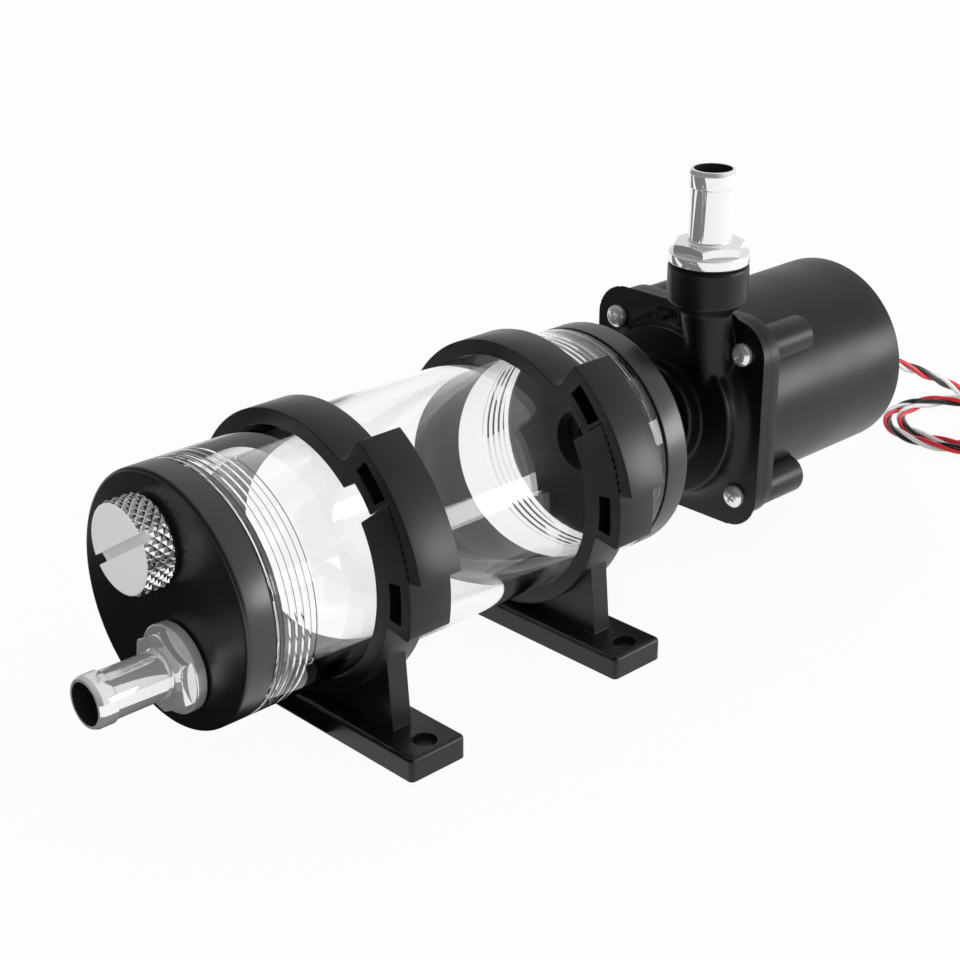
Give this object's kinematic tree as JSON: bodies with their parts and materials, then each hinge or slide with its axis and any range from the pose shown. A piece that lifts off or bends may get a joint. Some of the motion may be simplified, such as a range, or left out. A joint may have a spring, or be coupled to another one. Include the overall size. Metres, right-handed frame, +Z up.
{
  "type": "coolant pump reservoir",
  "caption": "Clear cylindrical coolant reservoir in two clamp feet, with a screw fill plug, hose barbs and a small centrifugal pump coupled to its rear cap.",
  "frame": {"origin": "centre of the four foot holes, on the floor", "axes": "+X along the tube from the inlet to the pump, +Z up"},
  "size_m": [0.3164, 0.0905, 0.0915],
  "materials": {
    "clear_acrylic": "clear polished acrylic",
    "cap_plastic": "satin black acetal",
    "seal_rubber": "black nitrile rubber",
    "plug_metal": "turned, fine satin",
    "bright_chrome": "mirror bright plating",
    "clamp_plastic": "moulded black nylon",
    "pump_plastic": "moulded black plastic",
    "screw_steel": "nickel plated",
    "can_plastic": "moulded dark plastic",
    "shaft_steel": "ground",
    "bearing_plastic": "carbon filled",
    "impeller_plastic": "moulded white plastic",
    "magnet_ferrite": "sintered ferrite",
    "stator_iron": "laminated",
    "winding_copper": "enamelled wire",
    "board_green": "solder mask",
    "cable_insulation": "glossy insulation, red, black and white",
    "connector_plastic": "moulded black nylon"
  },
  "bodies": {
    "reservoir": {"reservoir_tube": "clear_acrylic", "front_end_cap": "cap_plastic", "rear_end_cap": "cap_plastic", "front_cap_seal": "seal_rubber", "rear_cap_seal": "seal_rubber", "inlet_barb_fitting": "bright_chrome", "inlet_fitting_seal": "seal_rubber", "outlet_barb_fitting": "bright_chrome", "outlet_fitting_seal": "seal_rubber", "front_clamp_base": "clamp_plastic", "rear_clamp_base": "clamp_plastic", "inlet_coupler": "cap_plastic", "coupler_seals": "seal_rubber", "pump_head": "pump_plastic", "head_seal": "seal_rubber", "head_screws": "screw_steel", "motor_housing": "pump_plastic", "motor_end_cap": "pump_plastic", "cable_grommet": "seal_rubber", "isolation_can": "can_plastic", "pump_shaft": "shaft_steel", "thrust_washers": "bearing_plastic", "stator_core": "stator_iron", "stator_coils": "winding_copper", "stator_insulators": "can_plastic", "control_board": "board_green", "cable_lead": "cable_insulation", "cable_coil": "cable_insulation", "cable_tail": "cable_insulation", "cable_connector": "connector_plastic"},
    "rotor": {"impeller": "impeller_plastic", "rotor_magnet": "magnet_ferrite", "rotor_bushes": "bearing_plastic"},
    "plug_seal": {"fill_plug_seal": "seal_rubber"},
    "plug": {"fill_plug": "plug_metal"},
    "front_strap": {"front_clamp_strap": "clamp_plastic"},
    "rear_strap": {"rear_clamp_strap": "clamp_plastic"}
  },
  "joints": [
    {"name": "impeller_spin", "type": "hinge", "parent": "reservoir", "child": "rotor", "pos_m": [0.0825, 0, 0.0337], "axis": [1, 0, 0], "continuous": true},
    {"name": "fill_plug_travel", "type": "slide", "parent": "reservoir", "child": "plug_seal", "axis": [-1, 0, 0], "range_m": [0, 0.008]},
    {"name": "fill_plug_turn", "type": "hinge", "parent": "plug_seal", "child": "plug", "pos_m": [-0.0612, 0.00208, 0.04552], "axis": [-1, 0, 0], "range_deg": [0, 2200]},
    {"name": "front_clamp_open", "type": "hinge", "parent": "reservoir", "child": "front_strap", "pos_m": [-0.0275, 0.02845, 0.0337], "axis": [-1, 0, 0], "range_deg": [0, 60]},
    {"name": "rear_clamp_open", "type": "hinge", "parent": "reservoir", "child": "rear_strap", "pos_m": [0.0275, 0.02845, 0.0337], "axis": [-1, 0, 0], "range_deg": [0, 60]}
  ],
  "couplings": [
    {"joint": "fill_plug_turn", "follows": "fill_plug_travel", "rad_per_m": 4699.5}
  ]
}
